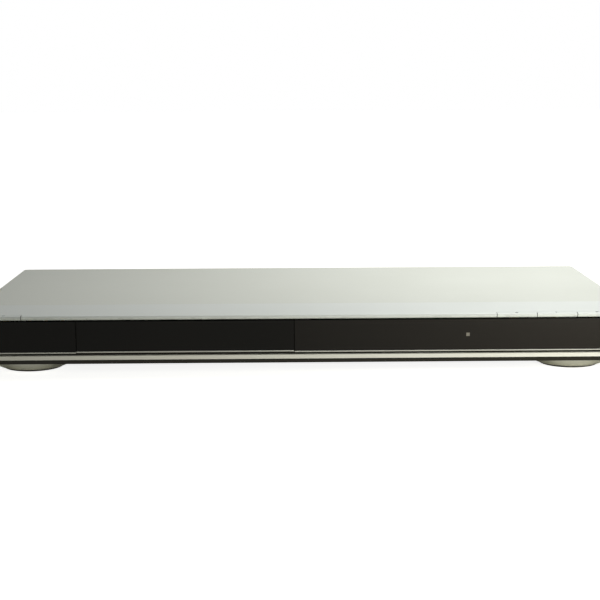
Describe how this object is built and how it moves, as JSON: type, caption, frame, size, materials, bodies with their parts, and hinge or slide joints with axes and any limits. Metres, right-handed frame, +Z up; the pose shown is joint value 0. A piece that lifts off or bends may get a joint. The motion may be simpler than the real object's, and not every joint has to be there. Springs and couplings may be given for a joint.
{
  "type": "disc player with tray",
  "caption": "Slim flat disc player: folded steel lid, sloping silver front lip with buttons, dark windows, a motor-driven sliding disc tray and rear jacks on four round feet.",
  "frame": {"origin": "on the ground under the middle of the whole player, rear jacks included", "axes": "X to the right seen from the front, Y to the back, Z up; the tray opens towards -Y"},
  "size_m": [0.43, 0.207, 0.0425],
  "materials": {
    "silver_paint": "semi-gloss silver lacquer on steel sheet",
    "bare_steel": "zinc-plated steel sheet",
    "silver_plastic": "silver-painted ABS, semi-gloss",
    "foot_silver": "silver-painted feet, satin",
    "dark_window": "glossy near-black smoked acrylic",
    "trim_silver": "thin bright silver strip",
    "black_abs": "black moulded ABS",
    "tray_abs": "fine-grained black ABS",
    "loader_abs": "dark grey moulded ABS",
    "white_acetal": "white acetal, slightly waxy",
    "motor_steel": "plated steel cans and shafts",
    "screw_steel": "zinc and yellow passivated screws",
    "board_green": "green solder mask on fibreglass board",
    "chip_black": "black moulded chip packages",
    "socket_ivory": "ivory nylon cable sockets",
    "capacitor_sleeve": "shrink sleeves of electrolytic capacitors",
    "transformer_wrap": "yellow winding tape and ferrite core",
    "heat_sink_aluminium": "extruded aluminium",
    "clear_glass": "clear glass",
    "tube_glass": "dark glass of the display tube",
    "belt_rubber": "black square belt",
    "felt_grey": "dark grey felt rings",
    "insert_plastic": "coloured plastic cores of the jacks",
    "cable_sheath": "flat white ribbons and sleeved wires"
  },
  "bodies": {
    "case": {"bottom_chassis": "bare_steel", "top_cover": "silver_paint", "rear_panel": "bare_steel", "front_bezel": "silver_plastic", "front_subframe": "black_abs", "side_window": "dark_window", "display_window": "dark_window", "window_trim": "trim_silver", "key_boards": "board_green", "key_switches": "black_abs", "display_board": "board_green", "display_tube": "tube_glass", "remote_sensor": "black_abs", "front_feet": "foot_silver", "rear_feet": "foot_silver", "foot_pads": "felt_grey", "case_screws": "screw_steel", "inner_screws": "screw_steel", "loader_frame": "loader_abs", "loading_motor": "motor_steel", "drive_belt": "belt_rubber", "clamp_bridge": "bare_steel", "main_board": "board_green", "main_chips": "chip_black", "board_sockets": "socket_ivory", "main_capacitors": "capacitor_sleeve", "power_board": "board_green", "transformer": "transformer_wrap", "power_capacitors": "capacitor_sleeve", "heat_sink": "heat_sink_aluminium", "mains_fuse": "clear_glass", "jack_blocks": "black_abs", "jack_barrels": "motor_steel", "jack_inserts": "insert_plastic", "svideo_socket": "black_abs", "optical_socket": "black_abs", "mains_inlet": "black_abs", "inlet_pins": "motor_steel", "cables": "cable_sheath"},
    "tray": {"disc_tray": "tray_abs", "tray_door": "dark_window", "door_trim": "trim_silver"},
    "loading_gear": {"loading_gear": "white_acetal"},
    "pulley_gear": {"pulley_gear": "white_acetal"},
    "motor_pulley": {"motor_pulley": "white_acetal"},
    "cam_slider": {"cam_slider": "white_acetal"},
    "traverse": {"traverse_frame": "loader_abs", "spindle_motor": "motor_steel", "guide_rods": "motor_steel", "sled_motor": "motor_steel"},
    "turntable": {"turntable": "tray_abs"},
    "clamper": {"clamper": "white_acetal"},
    "pickup": {"pickup_sled": "loader_abs"},
    "lens": {"objective_lens": "clear_glass"},
    "sled_gear": {"sled_gear": "white_acetal"},
    "sled_pinion": {"sled_pinion": "white_acetal"},
    "power_button": {"power_button": "silver_plastic"},
    "open_button": {"open_button": "silver_plastic"},
    "play_button": {"play_button": "silver_plastic"},
    "stop_button": {"stop_button": "silver_plastic"}
  },
  "joints": [
    {"name": "tray_slide", "type": "slide", "parent": "case", "child": "tray", "axis": [0, -1, 0], "range_m": [0, 0.128]},
    {"name": "loading_gear_turn", "type": "hinge", "parent": "case", "child": "loading_gear", "pos_m": [-0.0313, -0.0795, 0.0145], "axis": [0, 0, 1], "range_deg": [-918.73, 2]},
    {"name": "pulley_gear_turn", "type": "hinge", "parent": "case", "child": "pulley_gear", "pos_m": [-0.0529, -0.0795, 0.0145], "axis": [0, 0, 1], "range_deg": [-2, 3210.56]},
    {"name": "motor_pulley_turn", "type": "hinge", "parent": "case", "child": "motor_pulley", "pos_m": [-0.0893, -0.0795, 0.0145], "axis": [0, 0, 1], "range_deg": [-2, 11231.97]},
    {"name": "traverse_tilt", "type": "hinge", "parent": "case", "child": "traverse", "pos_m": [-0.0753, 0.051, 0.0218], "axis": [1, 0, 0], "range_deg": [0, 4.49]},
    {"name": "cam_slide", "type": "slide", "parent": "case", "child": "cam_slider", "axis": [1, 0, 0], "range_m": [0, 0.0141]},
    {"name": "turntable_spin", "type": "hinge", "parent": "traverse", "child": "turntable", "pos_m": [-0.0753, -0.032, 0.0285], "axis": [0, 0, 1], "continuous": true},
    {"name": "clamper_spin", "type": "hinge", "parent": "case", "child": "clamper", "pos_m": [-0.0753, -0.032, 0.0329], "axis": [0, 0, 1], "continuous": true},
    {"name": "pickup_slide", "type": "slide", "parent": "traverse", "child": "pickup", "axis": [0, 1, 0], "range_m": [0, 0.034]},
    {"name": "sled_gear_turn", "type": "hinge", "parent": "traverse", "child": "sled_gear", "pos_m": [-0.1063, 0.0192, 0.0145], "axis": [0, 0, 1], "range_deg": [-2, 407.85]},
    {"name": "sled_pinion_turn", "type": "hinge", "parent": "traverse", "child": "sled_pinion", "pos_m": [-0.11521, 0.02811, 0.0145], "axis": [0, 0, 1], "range_deg": [-1300.7, 2]},
    {"name": "lens_focus", "type": "slide", "parent": "pickup", "child": "lens", "axis": [0, 0, 1], "range_m": [-0.0005, 0.0005], "stiffness_N_per_m": 20},
    {"name": "power_press", "type": "slide", "parent": "case", "child": "power_button", "axis": [0, 0, -1], "range_m": [0, 0.0005], "stiffness_N_per_m": 400},
    {"name": "open_press", "type": "slide", "parent": "case", "child": "open_button", "axis": [0, 0, -1], "range_m": [0, 0.0005], "stiffness_N_per_m": 400},
    {"name": "play_press", "type": "slide", "parent": "case", "child": "play_button", "axis": [0, 0, -1], "range_m": [0, 0.0005], "stiffness_N_per_m": 400},
    {"name": "stop_press", "type": "slide", "parent": "case", "child": "stop_button", "axis": [0, 0, -1], "range_m": [0, 0.0005], "stiffness_N_per_m": 400}
  ],
  "couplings": [
    {"joint": "loading_gear_turn", "follows": "tray_slide", "rad_per_m": -125},
    {"joint": "pulley_gear_turn", "follows": "tray_slide", "rad_per_m": 437.5},
    {"joint": "motor_pulley_turn", "follows": "tray_slide", "rad_per_m": 1531.2},
    {"joint": "cam_slide", "follows": "traverse_tilt", "m_per_rad": 0.17859},
    {"joint": "sled_gear_turn", "follows": "pickup_slide", "rad_per_m": 208.33},
    {"joint": "sled_pinion_turn", "follows": "pickup_slide", "rad_per_m": -666.67},
    {"joint": "clamper_spin", "follows": "turntable_spin", "ratio": 1}
  ]
}
